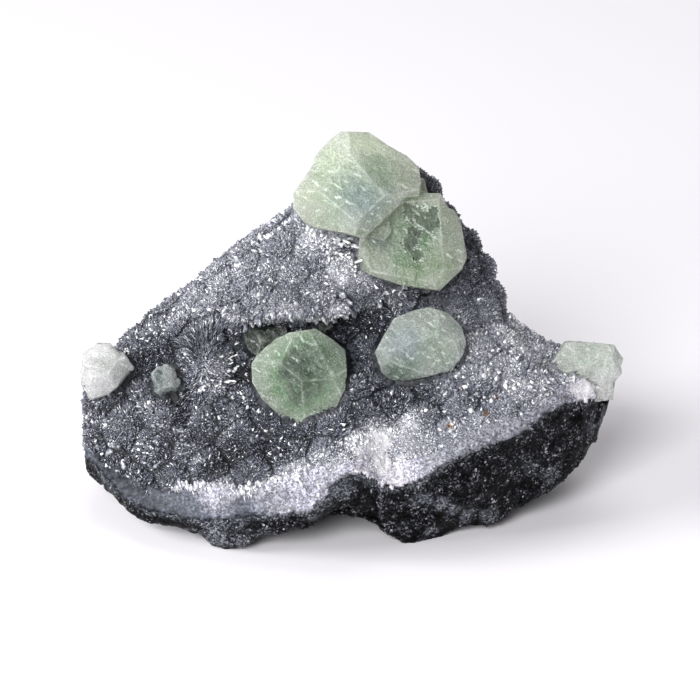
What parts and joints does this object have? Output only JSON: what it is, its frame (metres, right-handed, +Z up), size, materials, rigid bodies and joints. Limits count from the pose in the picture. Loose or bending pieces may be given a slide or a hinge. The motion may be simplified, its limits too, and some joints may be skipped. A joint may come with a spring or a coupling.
{
  "type": "mineral specimen of fluorite on quartz",
  "caption": "Cabinet mineral specimen: pale green fluorite crystals seated on a sparkling crust of quartz points that covers one side of a block of dark matrix rock.",
  "frame": {"origin": "on the surface that the specimen stands on, below the middle of its bounding box", "axes": "+X along the specimen's length towards the pointed right arm, +Y from the crystal-covered front to the broken back, +Z up"},
  "size_m": [0.1024, 0.0626, 0.0711],
  "materials": {
    "matrix_rock": "broken granular dark rock, near black with grey patches",
    "druse_quartz": "colourless to milky quartz points over a pale lilac-grey crust, sparkling",
    "green_fluorite": "translucent pale green crystal, satin faces with growth steps and pits"
  },
  "bodies": {
    "root": {"matrix": "matrix_rock", "quartz_druse": "druse_quartz", "fluorite_summit": "green_fluorite", "fluorite_centre": "green_fluorite", "fluorite_shaded": "green_fluorite", "fluorite_under_ledge": "green_fluorite", "fluorite_right": "green_fluorite", "fluorite_left_edge": "green_fluorite", "fluorite_little": "green_fluorite", "fluorite_right_tip": "green_fluorite"}
  },
  "joints": []
}
